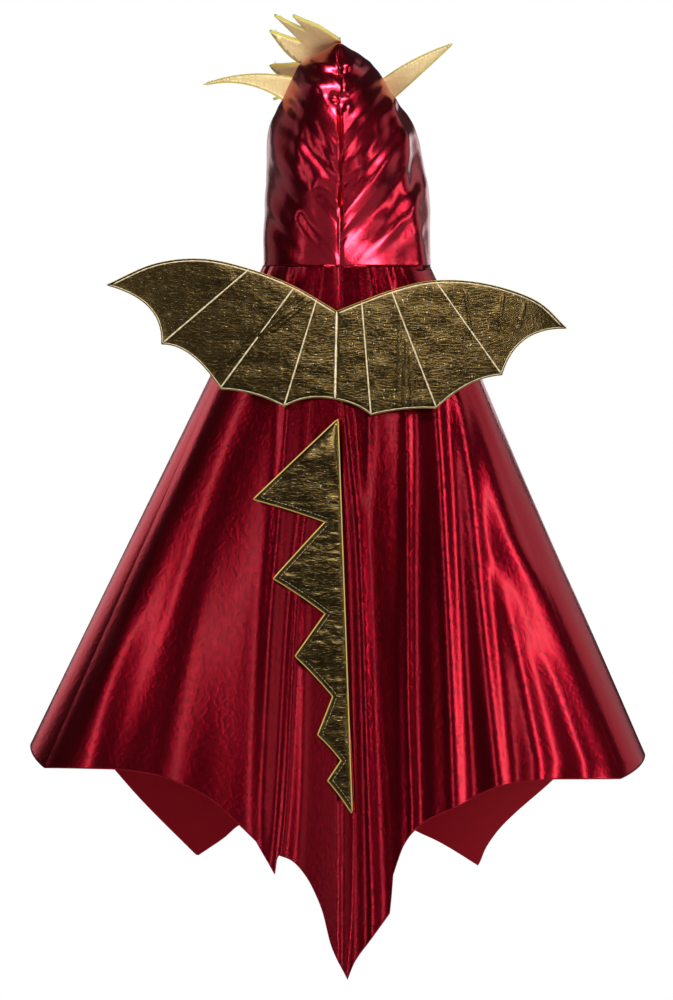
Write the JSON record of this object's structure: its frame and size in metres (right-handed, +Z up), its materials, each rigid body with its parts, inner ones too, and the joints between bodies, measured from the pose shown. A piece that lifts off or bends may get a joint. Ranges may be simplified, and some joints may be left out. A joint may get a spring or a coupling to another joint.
{
  "type": "hooded costume cape",
  "caption": "Child's hooded dragon costume cape: gathered shiny cape with a pointed hem, padded bat wings, a spiked back fin, and a peaked hood with horns and a crest.",
  "frame": {"origin": "middle of the neck opening, at the height of the neck seam", "axes": "+Z up, +Y the way the wearer faces, +X to the wearer's right"},
  "size_m": [0.7394, 0.3038, 1.1568],
  "materials": {
    "foil_red": "crimson metallic foil knit, glossy outside, matt red wrong side",
    "foil_gold": "wrinkled antique gold foil fabric with gold stitching",
    "foil_tan": "pale gold backing cloth",
    "foam_yellow": "thin soft yellow foam, cut edge showing",
    "tape_red": "woven dark red tape",
    "hook_and_loop": "dark red hook-and-loop patch"
  },
  "bodies": {
    "cape": {"cape_left_back_panel": "foil_red", "cape_right_back_panel": "foil_red", "cape_left_front_panel": "foil_red", "cape_right_front_panel": "foil_red", "neck_tape": "tape_red", "hang_loop": "tape_red", "wing_centre_strip": "foil_gold", "loop_patch": "hook_and_loop"},
    "hood": {"hood_left_panel": "foil_red", "hood_right_panel": "foil_red"},
    "wing_left": {"wing_left_outer_skin": "foil_gold", "wing_left_foam": "foam_yellow", "wing_left_inner_skin": "foil_gold"},
    "wing_right": {"wing_right_outer_skin": "foil_gold", "wing_right_foam": "foam_yellow", "wing_right_inner_skin": "foil_gold"},
    "fin": {"fin_outer_skin": "foil_gold", "fin_foam": "foam_yellow", "fin_inner_skin": "foil_gold"},
    "crest": {"crest_upper_skin": "foil_gold", "crest_foam": "foam_yellow", "crest_under_skin": "foil_tan"},
    "horn_left": {"horn_left_back_skin": "foil_tan", "horn_left_foam": "foam_yellow", "horn_left_front_skin": "foil_gold"},
    "horn_right": {"horn_right_back_skin": "foil_tan", "horn_right_foam": "foam_yellow", "horn_right_front_skin": "foil_gold"},
    "closure_tab": {"closure_tab": "foil_red", "hook_patch": "hook_and_loop"}
  },
  "joints": [
    {"name": "hood_tip", "type": "hinge", "parent": "cape", "child": "hood", "pos_m": [0, -0.084, 0], "axis": [1, 0, 0], "range_deg": [0, 60]},
    {"name": "wing_left_flap", "type": "hinge", "parent": "cape", "child": "wing_left", "pos_m": [-0.0128, -0.1031, -0.1], "axis": [0, 0.1142, 0.9935], "range_deg": [0, 70], "stiffness_Nm_per_rad": 0.06},
    {"name": "wing_right_flap", "type": "hinge", "parent": "cape", "child": "wing_right", "pos_m": [0.0028, -0.1031, -0.1], "axis": [0, -0.1142, -0.9935], "range_deg": [0, 70], "stiffness_Nm_per_rad": 0.06},
    {"name": "fin_lean", "type": "hinge", "parent": "cape", "child": "fin", "pos_m": [-0.003, -0.10889, -0.186], "axis": [-0.0359, 0.1142, 0.9928], "range_deg": [0, 175]},
    {"name": "crest_lean", "type": "hinge", "parent": "hood", "child": "crest", "pos_m": [0, 0, 0.275], "axis": [0, 0.8575, -0.5145], "range_deg": [0, 120]},
    {"name": "horn_left_bend", "type": "hinge", "parent": "hood", "child": "horn_left", "pos_m": [-0.0675, 0.02, 0.215], "axis": [0.5369, 0, 0.8437], "range_deg": [-30, 30], "stiffness_Nm_per_rad": 0.02},
    {"name": "horn_right_bend", "type": "hinge", "parent": "hood", "child": "horn_right", "pos_m": [0.0565, 0.02, 0.2105], "axis": [0.4626, 0, -0.8866], "range_deg": [-30, 30], "stiffness_Nm_per_rad": 0.02},
    {"name": "closure_tab_open", "type": "hinge", "parent": "cape", "child": "closure_tab", "pos_m": [-0.028, 0.085, -0.011], "axis": [0, 0, 1], "range_deg": [0, 120]}
  ]
}
